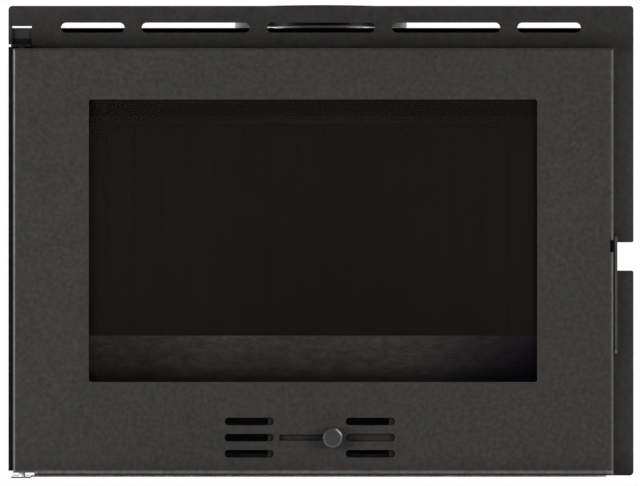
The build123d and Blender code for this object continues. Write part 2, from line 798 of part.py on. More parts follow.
def glass_clips():
    clip = glass_clip()
    return [Pos(x, pan_back, z) * Rot(0, turn, 0) * clip for x, z, turn in clip_places()]


def clip_nuts():
    """Nuts on the door's studs."""
    nuts = []
    front = pan_back + CLIP_T
    for x, z, turn in clip_places():
        nut = nut_y(x, z, NUT_AF, front, front + NUT_T)
        nuts.append(nut - rod_y(x, z, STUD_R + FIT, front, front + NUT_T))
    return nuts


def shutter_rails():
    """Strips above and below the shutter, each with a lip over its edge."""
    left = shutter_left - travel_left - GUIDE_W
    right = shutter_right + travel_right + GUIDE_W
    above = shutter_high + GAP
    below = shutter_low - GAP
    upper = block(left, right, pan_back, guide_back, above, above + GUIDE_W)
    upper += block(left, right, guide_lip_front, guide_back, above - GUIDE_LAP, above)
    lower = block(left, right, pan_back, guide_back, below - GUIDE_W, below)
    lower += block(left, right, guide_lip_front, guide_back, below, below + GUIDE_LAP)
    return [upper, lower]


def air_shutter():
    """Sliding plate with slots behind the vents. The middle right vent stays covered."""
    middle = (shutter_left + shutter_right) / 2
    plate = Pos(middle, vent_z) * Rectangle(shutter_right - shutter_left, shutter_high - shutter_low)
    for row in (-1, 0, 1):
        z = vent_z + row * VENT_PITCH
        plate -= slot(vent_left_x + SHUTTER_SHIFT, z, VENT_L, VENT_H)
        if row != 0:
            plate -= slot(vent_right_x + SHUTTER_SHIFT, z, VENT_L, VENT_H)
    body = upright(plate, shutter_front, shutter_back)
    return body - rod_y(knob_x, vent_z, STEM_R + FIT, shutter_front, shutter_back)


def knob_stem():
    """Threaded stem with a collar that rides on the front of the door."""
    stem_front = knob_front + KNOB_T / 2
    stem_back = shutter_back + STEM_NUT_T + STEM_END
    body = rod_y(knob_x, vent_z, STEM_R, stem_front, stem_back)
    return body + rod_y(knob_x, vent_z, STEM_COLLAR_R, knob_back, door_front - GAP)


def stem_nut():
    back = shutter_back + STEM_NUT_T
    nut = nut_y(knob_x, vent_z, STEM_NUT_AF, shutter_back, back)
    return nut - rod_y(knob_x, vent_z, STEM_R + FIT, shutter_back, back)


def air_knob():
    """Turned knob with a rounded front edge, screwed on the stem."""
    body = rod_y(knob_x, vent_z, KNOB_R, knob_front, knob_back)
    rims = body.edges().filter_by(GeomType.CIRCLE).sort_by(Axis.Y)
    body = fillet(rims[0], KNOB_EDGE)
    stem_front = knob_front + KNOB_T / 2
    return body - rod_y(knob_x, vent_z, STEM_R + FIT, stem_front, knob_back)


def latch_lever():
    """Folded lever: a foot behind the door's rim, a wing beside it and a nose for the latch slot."""
    wing_right = lever_x + LEVER_T
    top = lever_low + LEVER_L
    foot_top = lever_low + LEVER_FOOT_H
    body = block(lever_x, wing_right, lever_front, lever_back, lever_low, top)
    ends = body.edges().filter_by(Axis.X).group_by(Axis.Y)[0]
    body = fillet(ends, LEVER_T)
    foot = block(pivot_x - LEVER_FOOT_END, wing_right, lever_foot_front, lever_back, lever_low, foot_top)
    ends = foot.edges().filter_by(Axis.Y).group_by(Axis.X)[0]
    body += fillet(ends, LEVER_T)
    nose_left = door_right + NOSE_TIP_GAP
    nose_low = catch_low + NOSE_PLAY
    nose_top = catch_low + CATCH_H - NOSE_PLAY
    nose_back = lever_front + NOSE_D + LEVER_T
    body += block(nose_left, lever_x, lever_front + LEVER_T, nose_back, nose_low, nose_top)
    return body - rod_y(pivot_x, pivot_z, PIVOT_R + FIT, lever_foot_front, lever_back)


def latch_pivot_screw():
    """Socket head shoulder screw through the lever's foot into the face plate."""
    head_back = lever_foot_front - GAP
    head_front = head_back - PIVOT_HEAD_T
    body = rod_y(pivot_x, pivot_z, PIVOT_HEAD_R, head_front, head_back)
    body += rod_y(pivot_x, pivot_z, PIVOT_R, head_back, 0)
    socket_back = head_front + PIVOT_SOCKET_D
    return body - nut_y(pivot_x, pivot_z, PIVOT_SOCKET_AF, head_front, socket_back)


def ash_drawer():
    """Open topped pan under the grate."""
    half_w = drawer_half_w
    outer = block(-half_w, half_w, DRAWER_FRONT, drawer_back, drawer_low, drawer_high)
    inner_w = half_w - DRAWER_T
    front, back = DRAWER_FRONT + DRAWER_T, drawer_back - DRAWER_T
    return outer - block(-inner_w, inner_w, front, back, drawer_low + DRAWER_T, drawer_high)


def drawer_handle():
    """Bail welded to the drawer's front."""
    half_w = HANDLE_W / 2
    middle = (drawer_low + drawer_high) / 2
    low, high = middle - HANDLE_H / 2, middle + HANDLE_H / 2
    front = DRAWER_FRONT - HANDLE_REACH
    body = block(-half_w, half_w, front, DRAWER_FRONT, low, high)
    corners = body.edges().filter_by(Axis.Z).group_by(Axis.Y)[0]
    body = fillet(corners, HANDLE_T)
    inner_w = half_w - HANDLE_T
    return body - block(-inner_w, inner_w, front + HANDLE_T, DRAWER_FRONT, low, high)


PIECES = {
    "front_frame": front_frame,
    "jacket_wrap": jacket_wrap,
    "jacket_back": jacket_back,
    "jacket_screws": jacket_screws,
    "base_plate": base_plate,
    "upper_hinge_bracket": upper_hinge_bracket,
    "hinge_pin_upper": hinge_pin_upper,
    "hinge_pin_lower": hinge_pin_lower,
    "firebox_rails": firebox_rails,
    "firebox_floor": firebox_floor,
    "firebox_wrap": firebox_wrap,
    "firebox_top": firebox_top,
    "flue_neck": flue_neck,
    "flue_flange": flue_flange,
    "flue_collar": flue_collar,
    "ash_bay": ash_bay,
    "hearth_skirt": hearth_skirt,
    "drawer_runners": drawer_runners,
    "hearth_plate": hearth_plate,
    "grate": grate,
    "liner_left": lambda: liner_side(-1),
    "liner_right": lambda: liner_side(1),
    "liner_back": liner_back,
    "baffle_plate": baffle_plate,
    "log_guard": log_guard,
    "airwash_deflector": airwash_deflector,
    "latch_pivot_screw": latch_pivot_screw,
    "door_panel": door_panel,
    "hinge_bushes": hinge_bushes,
    "inner_frame": inner_frame,
    "rope_channel": rope_channel,
    "door_gasket": door_gasket,
    "glass_pane": glass_pane,
    "glass_gasket": glass_gasket,
    "glass_clips": glass_clips,
    "clip_nuts": clip_nuts,
    "shutter_rails": shutter_rails,
    "air_shutter": air_shutter,
    "knob_stem": knob_stem,
    "stem_nut": stem_nut,
    "air_knob": air_knob,
    "latch_lever": latch_lever,
    "ash_drawer": ash_drawer,
    "drawer_handle": drawer_handle,
}

os.makedirs("parts", exist_ok=True)
for name, make in PIECES.items():
    piece = make()
    if isinstance(piece, list):
        piece = Compound(children=piece)
    export_step(piece, f"parts/{name}.step")
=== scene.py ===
import bpy
import json
import math
import random
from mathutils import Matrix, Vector


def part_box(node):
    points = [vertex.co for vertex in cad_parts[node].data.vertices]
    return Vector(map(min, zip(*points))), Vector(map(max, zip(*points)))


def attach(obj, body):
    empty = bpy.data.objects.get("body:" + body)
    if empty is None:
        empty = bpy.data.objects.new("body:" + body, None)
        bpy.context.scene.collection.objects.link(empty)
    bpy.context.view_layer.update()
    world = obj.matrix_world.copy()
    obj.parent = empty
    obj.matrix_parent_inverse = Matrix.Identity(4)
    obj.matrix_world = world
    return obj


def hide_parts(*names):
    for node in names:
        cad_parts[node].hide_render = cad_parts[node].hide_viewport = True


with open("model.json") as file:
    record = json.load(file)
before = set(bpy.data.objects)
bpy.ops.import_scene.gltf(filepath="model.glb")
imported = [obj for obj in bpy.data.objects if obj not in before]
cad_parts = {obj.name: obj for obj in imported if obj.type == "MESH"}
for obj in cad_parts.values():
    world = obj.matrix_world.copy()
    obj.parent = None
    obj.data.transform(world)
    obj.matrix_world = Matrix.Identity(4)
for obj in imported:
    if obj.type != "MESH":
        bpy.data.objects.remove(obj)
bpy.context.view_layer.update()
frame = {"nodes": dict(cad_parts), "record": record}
nodes = frame["nodes"]
rng = random.Random(7)

MM = 0.001

# Camera: level, in front of the face plate, far away with a long lens
CAMERA_PLACE = (-1.06 * MM, -6.003, 0.2621)
CAMERA_LENS = 301.3
CAMERA_CLIP = 100
SENSOR_WIDTH = 36.0

# The door's left edge and its top, where the painted shade on the face plate changes
DOOR_LEFT = -343.3 * MM
DOOR_TOP = 479 * MM

# The base plate's upper face, which bounds the bright top of its ear
PLATE_TOP = 1.5 * MM

# Open share of a point's surroundings at which the painted shade in a corner is at its darkest
CORNER_FROM = 0.45

# The seal rope and its braid
ROPE_CORNER = 20 * MM
ROPE_RINGS = 1500
ROPE_SIDES = 28
ROPE_STRANDS = 5
ROPE_REPEAT = 6.4 * MM
ROPE_RELIEF = 0.13      # of the rope's radius
ROPE_CROSSING = 0.2     # how far strands rise and sink at a crossing, of the relief

# The tape under the glass and its woven rib
TAPE_WIDTH = 12 * MM
TAPE_CORNER = 8 * MM
TAPE_RINGS = 1100
TAPE_SIDES = 16
TAPE_RIB = 4 * MM
TAPE_RELIEF = 0.07      # of its half thickness
TAPE_EDGE = 0.6         # exponents of its section: the lower, the squarer
TAPE_FACE = 0.4

# Weld beads
BEAD_SIDES = 8
BEAD_STEP = 0.45 * MM
BEAD_RIPPLE = 1.7 * MM  # length of one ripple
BEAD_SWAY = 9 * MM
RIPPLE_HEIGHT = 0.1     # of the bead's radius, as are the next two
SWAY_HEIGHT = 0.07
END_RADIUS = 0.35
SPIGOT_RADIUS = 99 * MM
BRACKET_SEAM = 31 * MM  # from the hinge bracket's front to its weld
TACK_HALF = 9 * MM
PAN_TACK = 1.5 * MM
CHANNEL_TACK = 1.3 * MM

# Light
AIM = (0, 0, 0.26)
SIDE_LAMP = (1.0, 0.9)
UPPER_LAMP = (2.0, 1.4)
FLOOR_REACH = 40.0
FLOOR_LEVEL = -0.2 * MM


def rgba(red, green, blue):
    return (red, green, blue, 1.0)


def tinted(colour, red, green, blue):
    """The colour with each channel times its own factor."""
    return rgba(colour[0] * red, colour[1] * green, colour[2] * blue)


WHITE = rgba(1, 1, 1)


class Look:
    """The nodes of one material or world. In a material, places are metres in the shared frame."""

    def __init__(self, owner, coordinates="Object"):
        self.owner = owner
        owner.use_nodes = True
        self.tree = owner.node_tree
        self.tree.nodes.clear()
        self.place = self.node("ShaderNodeTexCoord").outputs[coordinates]

    def node(self, kind, **settings):
        made = self.tree.nodes.new(kind)
        for key, value in settings.items():
            setattr(made, key, value)
        return made

    def put(self, socket, value):
        """Links an output into the socket, or sets a constant there."""
        if isinstance(value, bpy.types.NodeSocket):
            self.tree.links.new(value, socket)
        else:
            socket.default_value = value

    def filled(self, kind, **values):
        """The first output of a new node with these inputs. An underscore stands for a space."""
        made = self.node(kind)
        for key, value in values.items():
            self.put(made.inputs[key.replace("_", " ")], value)
        return made.outputs[0]

    def axis(self, letter, vector=None):
        made = self.node("ShaderNodeSeparateXYZ")
        self.put(made.inputs["Vector"], self.place if vector is None else vector)
        return made.outputs[letter]

    def frontness(self, normal):
        """How far a surface faces the front or the back, from 0 to 1."""
        return self.math("ABSOLUTE", self.axis("Y", normal))

    def noise(self, size, detail, stretch=None):
        """Noise from 0 to 1 whose patches are about size metres wide."""
        place = self.place
        if stretch:
            place = self.filled("ShaderNodeMapping", Vector=place, Scale=stretch)
        return self.filled("ShaderNodeTexNoise", Vector=place, Scale=1 / size, Detail=detail)

    def span(self, value, low, high, to_low=0.0, to_high=1.0, **settings):
        """Maps low..high to to_low..to_high, held at both ends."""
        made = self.node("ShaderNodeMapRange", clamp=True, **settings)
        self.put(made.inputs["Value"], value)
        self.put(made.inputs["From Min"], low)
        self.put(made.inputs["From Max"], high)
        self.put(made.inputs["To Min"], to_low)
        self.put(made.inputs["To Max"], to_high)
        return made.outputs["Result"]

    def band(self, value, start, full, factor):
        """1 before start, changing to factor at full and beyond. Full may lie below start."""
        return self.span(value, start, full, 1.0, factor)

    def varied(self, size, low, high, detail=3, ends=(0.3, 0.7), stretch=None):
        """Noise whose usual values, between the two ends, are spread over low..high."""
        return self.span(self.noise(size, detail, stretch), *ends, low, high)

    def math(self, operation, first, second=0.0):
        made = self.node("ShaderNodeMath", operation=operation)
        self.put(made.inputs[0], first)
        self.put(made.inputs[1], second)
        return made.outputs[0]

    def product(self, first, *others):
        for other in others:
            first = self.math("MULTIPLY", first, other)
        return first

    def mix(self, factor, first, second, blend="MIX"):
        """Mixes two colours."""
        made = self.node("ShaderNodeMix", data_type="RGBA", blend_type=blend)
        self.put(made.inputs[0], factor)
        self.put(made.inputs[6], first)
        self.put(made.inputs[7], second)
        return made.outputs[2]

    def dimmed(self, colour, factor):
        """The colour times a grey factor."""
        grey = self.filled("ShaderNodeCombineColor", Red=factor, Green=factor, Blue=factor)
        return self.mix(1.0, colour, grey, "MULTIPLY")

    def bump(self, height, depth, under=None):
        values = {"Height": height, "Distance": depth}
        if under is not None:
            values["Normal"] = under
        return self.filled("ShaderNodeBump", **values)

    def soft_edges(self, radius):
        """Normals that round the sharp edges of sheet metal."""
        made = self.node("ShaderNodeBevel", samples=6)
        self.put(made.inputs["Radius"], radius)
        return made.outputs["Normal"]

    def openness(self, reach, darkest):
        """Painted shade: 1 on open faces, and down to darkest in corners that are narrower than
        reach.
        """
        made = self.node("ShaderNodeAmbientOcclusion", samples=8)
        self.put(made.inputs["Distance"], reach)
        return self.span(made.outputs["AO"], CORNER_FROM, 1.0, darkest, 1.0)

    def layered(self, share, first, second):
        """Mixes two shaders."""
        made = self.node("ShaderNodeMixShader")
        self.put(made.inputs[0], share)
        self.put(made.inputs[1], first)
        self.put(made.inputs[2], second)
        return made.outputs[0]

    def finish(self, shader, output="ShaderNodeOutputMaterial"):
        self.put(self.node(output).inputs["Surface"], shader)
        return self.owner

    def surface(self, **values):
        """Ends the material in a principled surface."""
        return self.finish(self.filled("ShaderNodeBsdfPrincipled", **values))


def new_look(name):
    return Look(bpy.data.materials.new(name))


def paint(name, colour, roughness=0.42, mottle=0.2, rounding=0.5 * MM, shade=None, corners=0.3):
    """Matt heat resistant paint on sheet steel, a little blotchy, with a fine grain.

    Painted shade darkens and dulls it in corners; a shade function adds more painted light and
    shade.
    """
    look = new_look(name)
    warm = tinted(colour, 1.1, 1.0, 0.88)
    cool = tinted(colour, 0.92, 1.01, 1.02)
    base = look.mix(look.varied(9 * MM, 0, 1, ends=(0.35, 0.65)), warm, cool)
    blotch = look.varied(5 * MM, 1 - mottle, 1 + mottle, detail=4)
    slow = look.varied(120 * MM, 0.93, 1.07)
    grain = look.noise(1.1 * MM, 2)
    speck = look.span(grain, 0.25, 0.75, 0.93, 1.07)
    # Painted shade: ambient occlusion darkens corners, and the shade function multiplies in its
    # painted light and shade
    tone = look.openness(26 * MM, corners)
    rounded = look.soft_edges(rounding)
    if shade is not None:
        tone = look.product(tone, shade(look, rounded))
    factor = look.product(blotch, slow, speck, tone)
    rough = look.varied(14 * MM, roughness - 0.04, roughness + 0.06)
    # The painted light and shade also scale the shine: duller in corners, brighter where painted
    # lighter
    shine = look.product(look.math("MINIMUM", tone, 1.4), 0.42)
    return look.surface(Base_Color=look.dimmed(base, factor), Roughness=rough,
                        Specular_IOR_Level=shine, Normal=look.bump(grain, 0.02 * MM, rounded))


def cast(name, colour, roughness=0.72, soot=0.25):
    """Cast iron with a sandy skin and uneven soot."""
    look = new_look(name)
    rust = tinted(colour, 1.15, 1.02, 0.85)
    base = look.mix(look.varied(30 * MM, 0, 1, detail=5, ends=(0.35, 0.7)), rgba(*colour), rust)
    skin = look.noise(1.8 * MM, 5)
    lumps = look.noise(6 * MM, 3)
    factor = look.product(look.varied(60 * MM, 1 - soot, 1 + soot, detail=5),
                          look.span(skin, 0.3, 0.7, 0.85, 1.15))
    normal = look.bump(lumps, 0.15 * MM, look.soft_edges(1.0 * MM))
    normal = look.bump(skin, 0.12 * MM, normal)
    rough = look.span(skin, 0.3, 0.7, roughness - 0.08, roughness + 0.12)
    return look.surface(Base_Color=look.dimmed(base, factor), Roughness=rough, Normal=normal)


def steel(name, colour, roughness, grain_stretch, tarnish=0.15, rounding=0.3 * MM):
    """Bare or plated steel with drawn lines along one direction."""
    look = new_look(name)
    lines = look.noise(0.5 * MM, 3, grain_stretch)
    clouds = look.varied(18 * MM, 1 - tarnish, 1 + tarnish, detail=4)
    factor = look.product(clouds, look.span(lines, 0.3, 0.7, 0.92, 1.08))
    warm = tinted(colour, 1.03, 0.98, 0.9)
    base = look.mix(look.varied(25 * MM, 0, 1, ends=(0.4, 0.65)), rgba(*colour), warm)
    rough = look.varied(5 * MM, roughness - 0.06, roughness + 0.08, detail=4)
    return look.surface(Base_Color=look.dimmed(base, factor), Metallic=1.0, Roughness=rough,
                        Normal=look.bump(lines, 0.01 * MM, look.soft_edges(rounding)))


def fibre(name, colour, weave, roughness=0.9):
    """Glass fibre yarn with a fine twist."""
    look = new_look(name)
    yarn = look.noise(weave, 4)
    dust = look.varied(20 * MM, 0.8, 1.15, detail=4)
    factor = look.product(dust, look.span(yarn, 0.3, 0.7, 0.75, 1.2))
    return look.surface(Base_Color=look.dimmed(rgba(*colour), factor), Roughness=roughness,
                        Sheen_Weight=0.2, Normal=look.bump(yarn, 0.25 * MM))


def face_plate_shade(look, normal):
    """Painted shade: dark cut edges; the strip left of the door and the top darker than the right
    side.
    """
    strip = 0.27
    edge = look.span(look.frontness(normal), 0.7, 0.99, 0.3, 1.0)
    across, up = look.axis("X"), look.axis("Z")
    right_of_strip = look.span(across, DOOR_LEFT + 0.5 * MM, DOOR_LEFT + 1.1 * MM, strip, 1.0)
    above_strip = look.span(up, DOOR_TOP + 2.0 * MM, DOOR_TOP + 3.5 * MM, strip, 1.0)
    hinge_strip_shade = look.math("MAXIMUM", right_of_strip, above_strip)
    # Painted shade just above the door, lifted again by painted light towards the top rim
    top = look.span(up, DOOR_TOP - 9 * MM, DOOR_TOP + 3 * MM, 1.08, 0.60)
    rim = look.band(up, DOOR_TOP + 11 * MM, DOOR_TOP + 23 * MM, 1.22)
    return look.product(edge, hinge_strip_shade, look.product(top, rim))


def door_shade(look, normal):
    """Painted highlights along the folds, most at the left; painted shade under the bottom fold and
    along the top.
    """
    low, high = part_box("door_panel")
    across, up = look.axis("X"), look.axis("Z")
    # Painted highlights where the side and bottom folds catch the lamps
    left = look.band(across, low.x + 3.0 * MM, low.x + 1.6 * MM, 1.75)
    right = look.band(across, high.x - 3.2 * MM, high.x - 1.8 * MM, 1.3)
    bottom = look.band(up, low.z + 6.2 * MM, low.z + 4.4 * MM, 4.2)
    # Painted shade on the underside and along the top fold
    under = look.band(up, low.z + 2.9 * MM, low.z + 1.9 * MM, 0.3)
    top = look.band(up, high.z - 3.0 * MM, high.z - 1.5 * MM, 0.7)
    return look.product(left, right, look.product(bottom, under, top))


def casing_shade(look, normal):
    """Painted shade: the casing is darker inside, and black along the edge behind the face plate.
    """
    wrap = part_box("jacket_wrap")[1]
    across, depth, up = look.math("ABSOLUTE", look.axis("X")), look.axis("Y"), look.axis("Z")
    inside = 0.25
    edge = look.span(depth, 0.5 * MM, 1.5 * MM, 0.05, 1.0)
    skin_top = look.span(up, wrap.z - 1.2 * MM, wrap.z - 0.4 * MM, inside, 1.0)
    skin_side = look.span(across, wrap.x - 1.2 * MM, wrap.x - 0.4 * MM, inside, 1.0)
    skin_back = look.span(depth, wrap.y + 0.2 * MM, wrap.y + 0.9 * MM, inside, 1.0)
    skin = look.math("MAXIMUM", look.math("MAXIMUM", skin_top, skin_side), skin_back)
    return look.product(edge, skin)


def bracket_shade(look, normal):
    """Painted shade: darker up to just above the ear."""
    ear_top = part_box("hinge_pin_upper")[1].z
    return look.span(look.axis("Z"), ear_top + 6.5 * MM, ear_top + 8 * MM, 0.3, 1.0)


def lever_shade(look, normal):
    """Painted highlight: the lever's foot is painted lighter."""
    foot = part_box("latch_lever")[0].z
    return look.band(look.axis("Z"), foot + 4.4 * MM, foot + 3.6 * MM, 2.2)


def chamber_shade(look, normal):
    """Soot thickens towards the top of the fire chamber."""
    return look.span(look.axis("Z"), 60 * MM, 420 * MM, 1.1, 0.65)


def galvanised_look():
    """Pale galvanised sheet. Its ear has a bright top and a dark cut edge."""
    look = new_look("galvanised")
    depth, up = look.axis("Y"), look.axis("Z")
    flowers = look.filled("ShaderNodeTexVoronoi", Vector=look.place, Scale=1 / (9 * MM))
    tone = look.span(flowers, 0.0, 0.8, 0.92, 1.05)
    ear = look.span(depth, -1 * MM, -2 * MM)
    edge = look.span(up, PLATE_TOP - 0.05 * MM, PLATE_TOP - 0.10 * MM)
    plate = look.span(up, PLATE_TOP + 0.1 * MM, PLATE_TOP + 0.2 * MM, 1.0, 0.0)
    cut = look.product(ear, edge)
    polish = look.product(ear, plate, look.math("SUBTRACT", 1.0, edge))
    pale = look.dimmed(rgba(0.90, 0.90, 0.90), tone)
    wear = look.varied(6 * MM, 0.9, 1.1)
    return look.surface(Base_Color=look.mix(cut, pale, rgba(0.022, 0.021, 0.02)), Metallic=polish,
                        Roughness=look.product(look.span(polish, 0, 1, 0.5, 0.08), wear))


def collar_look():
    """Steel tube with painted reflection and shade: black seen straight on, bright at a slant,
    darker to the right.
    """
    look = new_look("collar_steel")
    slant = look.node("ShaderNodeLayerWeight")
    look.put(slant.inputs["Blend"], 0.5)
    # Painted reflection: the colour brightens where the tube is seen at a slant
    bright = look.span(slant.outputs["Facing"], 0.22, 0.72)
    # Painted shade: the right side is darker
    side = look.span(look.axis("X"), -60 * MM, 60 * MM, 1.0, 0.5)
    clouds = look.varied(14 * MM, 0.85, 1.15, detail=4)
    colour = look.mix(look.product(bright, side), rgba(0.02, 0.02, 0.021),
                      rgba(0.165, 0.161, 0.158))
    lines = look.noise(0.5 * MM, 3, (0.08, 0.08, 1.0))
    normal = look.bump(lines, 0.008 * MM, look.soft_edges(0.3 * MM))
    return look.surface(Base_Color=look.dimmed(colour, clouds), Metallic=1.0, Normal=normal,
                        Roughness=look.varied(5 * MM, 0.26, 0.36, detail=4))


def knob_look():
    """Satin black knob, with turning rings on its face and a rim painted lighter, as painted light.
    """
    low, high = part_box("air_knob")
    look = new_look("knob_black")
    across = look.math("SUBTRACT", look.axis("X"), (low.x + high.x) / 2)
    up = look.math("SUBTRACT", look.axis("Z"), (low.z + high.z) / 2)
    squares = look.math("ADD", look.product(across, across), look.product(up, up))
    radius = look.math("SQRT", squares)
    turning_step = 0.45 * MM
    rings = look.math("SINE", look.product(radius, 2 * math.pi / turning_step))
    wear = look.varied(4 * MM, 0.9, 1.1, detail=4)
    rim = look.span(radius, 8.2 * MM, 9.2 * MM)
    upper_right = look.math("ADD", across, look.product(up, 0.9))
    upper_left = look.math("SUBTRACT", up, across)
    # Painted highlight on the rim's upper right
    rim_highlight = look.span(upper_right, 11.7 * MM, 13.0 * MM)
    # Painted shade on the rim's upper left
    rim_shade = look.band(upper_left, 2 * MM, 10 * MM, 0.35)
    rim_grey = look.dimmed(rgba(0.085, 0.083, 0.083), rim_shade)
    lit_rim_colour = look.mix(rim_highlight, rim_grey, rgba(0.42, 0.41, 0.40))
    colour = look.mix(rim, rgba(0.034, 0.032, 0.032), lit_rim_colour)
    return look.surface(Base_Color=look.dimmed(colour, wear),
                        Roughness=look.varied(2 * MM, 0.40, 0.5),
                        Normal=look.bump(rings, 0.004 * MM, look.soft_edges(0.3 * MM)))


def glass_look():
    """Ceramic glass under a thin smoke film. It mirrors only where it is seen at a slant."""
    look = new_look("ceramic_glass")
    guard_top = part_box("log_guard")[1].z
    across, up = look.axis("X"), look.axis("Z")
    haze = look.varied(80 * MM, 0.0, 1.0, detail=4, ends=(0.35, 0.75))
    tint = look.mix(haze, rgba(0.90, 0.88, 0.86), rgba(0.84, 0.82, 0.80))
    clear = look.filled("ShaderNodeBsdfTransparent", Color=tint)
    gloss = look.filled("ShaderNodeBsdfGlossy", Color=WHITE,
                        Roughness=look.span(haze, 0, 1, 0.03, 0.09))
    film = look.filled("ShaderNodeBsdfDiffuse", Color=rgba(0.05, 0.044, 0.038))
    # Painted shade: the film is thinner low down, more so to the right, and again at the foot, so
    # the glass reads darker there
    low_part = look.span(up, guard_top, guard_top - 25 * MM)
    right_part = look.span(across, 110 * MM, 230 * MM)
    film_cut_for_shade = look.product(low_part, look.span(right_part, 0, 1, 0.25, 0.75))
    foot = look.band(up, guard_top - 26 * MM, guard_top - 46 * MM, 0.5)
    thick = look.product(foot, look.math("SUBTRACT", 1.0, film_cut_for_shade))
    share = look.product(look.span(haze, 0, 1, 0.138, 0.146), thick)
    filmed = look.layered(share, clear, film)
    slant = look.filled("ShaderNodeFresnel", IOR=1.45)
    mirrored = look.span(slant, 0.07, 1.0, 0.0, 0.6)
    return look.finish(look.layered(mirrored, filmed, gloss))


def guard_look():
    """Heat tinted iron, bluish at its right end. Painted shade: brightest in its middle, darker at
    its ends and its foot.
    """
    look = new_look("log_guard_iron")
    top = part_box("log_guard")[1].z
    across, up = look.axis("X"), look.axis("Z")
    right_end = look.span(across, 90 * MM, 250 * MM)
    left_end = look.span(across, -120 * MM, -270 * MM)
    foot = look.span(up, top, top - 48 * MM)
    # The dark bluish right end is heat tint and painted shade together
    tint = look.mix(right_end, rgba(0.168, 0.171, 0.180), rgba(0.021, 0.015, 0.056))
    foot_shade = look.product(look.band(foot, 0, 1, 0.35), look.band(foot, 0.7, 1.0, 0.5))
    guard_shade = look.product(foot_shade, look.band(left_end, 0, 1, 0.86))
    skin = look.noise(3.5 * MM, 4, (0.6, 1.0, 1.6))
    blotch = look.varied(9 * MM, 0.76, 1.24, detail=4, stretch=(0.5, 1.0, 1.3))
    factor = look.product(guard_shade, blotch, look.span(skin, 0.3, 0.7, 0.72, 1.28))
    # Painted shade also dulls the shine
    shine = look.product(guard_shade, look.span(right_end, 0, 1, 0.25, 0.02))
    return look.surface(Base_Color=look.dimmed(tint, factor), Roughness=0.8,
                        Specular_IOR_Level=shine,
                        Normal=look.bump(skin, 0.02 * MM, look.soft_edges(1.0 * MM)))


looks = {
    "door_paint": paint("door_paint", (0.0288, 0.0273, 0.0260), mottle=0.29, shade=door_shade,
                        corners=0.75),
    "frame_paint": paint("frame_paint", (0.029, 0.0275, 0.0262), mottle=0.26, rounding=0.8 * MM,
                         shade=face_plate_shade, corners=0.55),
    "black_paint": paint("black_paint", (0.027, 0.0256, 0.0245)),
    "bracket_paint": paint("bracket_paint", (0.022, 0.021, 0.0225), shade=bracket_shade,
                           corners=0.6),
    # The lever's paint is lighter than the door's: painted light that makes up for the door's
    # shadow on it
    "lever_paint": paint("lever_paint", (0.076, 0.073, 0.069), shade=lever_shade, corners=1.0),
    "casing_paint": paint("casing_paint", (0.022, 0.021, 0.020), roughness=0.55,
                          shade=casing_shade),
    "chamber_steel": paint("chamber_steel", (0.020, 0.018, 0.016), roughness=0.7, mottle=0.3,
                           shade=chamber_shade),
    "cast_iron": cast("cast_iron", (0.016, 0.0148, 0.0136)),
    "log_guard": guard_look(),
    "bare_steel": steel("bare_steel", (0.30, 0.295, 0.29), 0.36, (1.0, 1.0, 0.05)),
    "galvanised": galvanised_look(),
    "collar_steel": collar_look(),
    "weld": steel("weld", (0.12, 0.115, 0.11), 0.45, (1.0, 1.0, 1.0), 0.3),
    "zinc_steel": steel("zinc_steel", (0.60, 0.61, 0.63), 0.38, (0.1, 1.0, 1.0), 0.1, 0.2 * MM),
    "knob_black": knob_look(),
    "ceramic_glass": glass_look(),
    "seal_rope": fibre("seal_rope", (0.10, 0.097, 0.092), 0.6 * MM),
    "seal_tape": fibre("seal_tape", (0.42, 0.41, 0.38), 0.8 * MM),
}

# Nodes that look other than their material slot
OWN_LOOK = {
    "front_frame": "frame_paint",
    "door_panel": "door_paint",
    "log_guard": "log_guard",
    "ash_drawer": "chamber_steel",
    "drawer_handle": "chamber_steel",
    "firebox_rails": "chamber_steel",
    "latch_lever": "lever_paint",
    "hinge_pin_lower": "galvanised",
    "base_plate": "galvanised",
    "upper_hinge_bracket": "bracket_paint",
    "flue_collar": "collar_steel",
}


def dress(piece, look_name):
    piece.data.materials.clear()
    piece.data.materials.append(looks[look_name])


for part in frame["record"]["subparts"]:
    node_name = part["node"]
    dress(nodes[node_name], OWN_LOOK.get(node_name, part["material_slot"]))


def new_piece(name, points, faces, body, look_name):
    mesh = bpy.data.meshes.new(name)
    mesh.from_pydata(points, [], faces)
    mesh.polygons.foreach_set("use_smooth", [True] * len(mesh.polygons))
    mesh.update()
    piece = bpy.data.objects.new(name, mesh)
    bpy.context.scene.collection.objects.link(piece)
    dress(piece, look_name)
    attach(piece, body)
    return piece


def tube_faces(rings, around, closed):
    """The sides of a tube whose points are listed ring by ring."""
    faces = []
    for ring in range(rings if closed else rings - 1):
        following = (ring + 1) % rings
        for side in range(around):
            beside = (side + 1) % around
            faces.append((ring * around + side, following * around + side,
                          following * around + beside, ring * around + beside))
    return faces


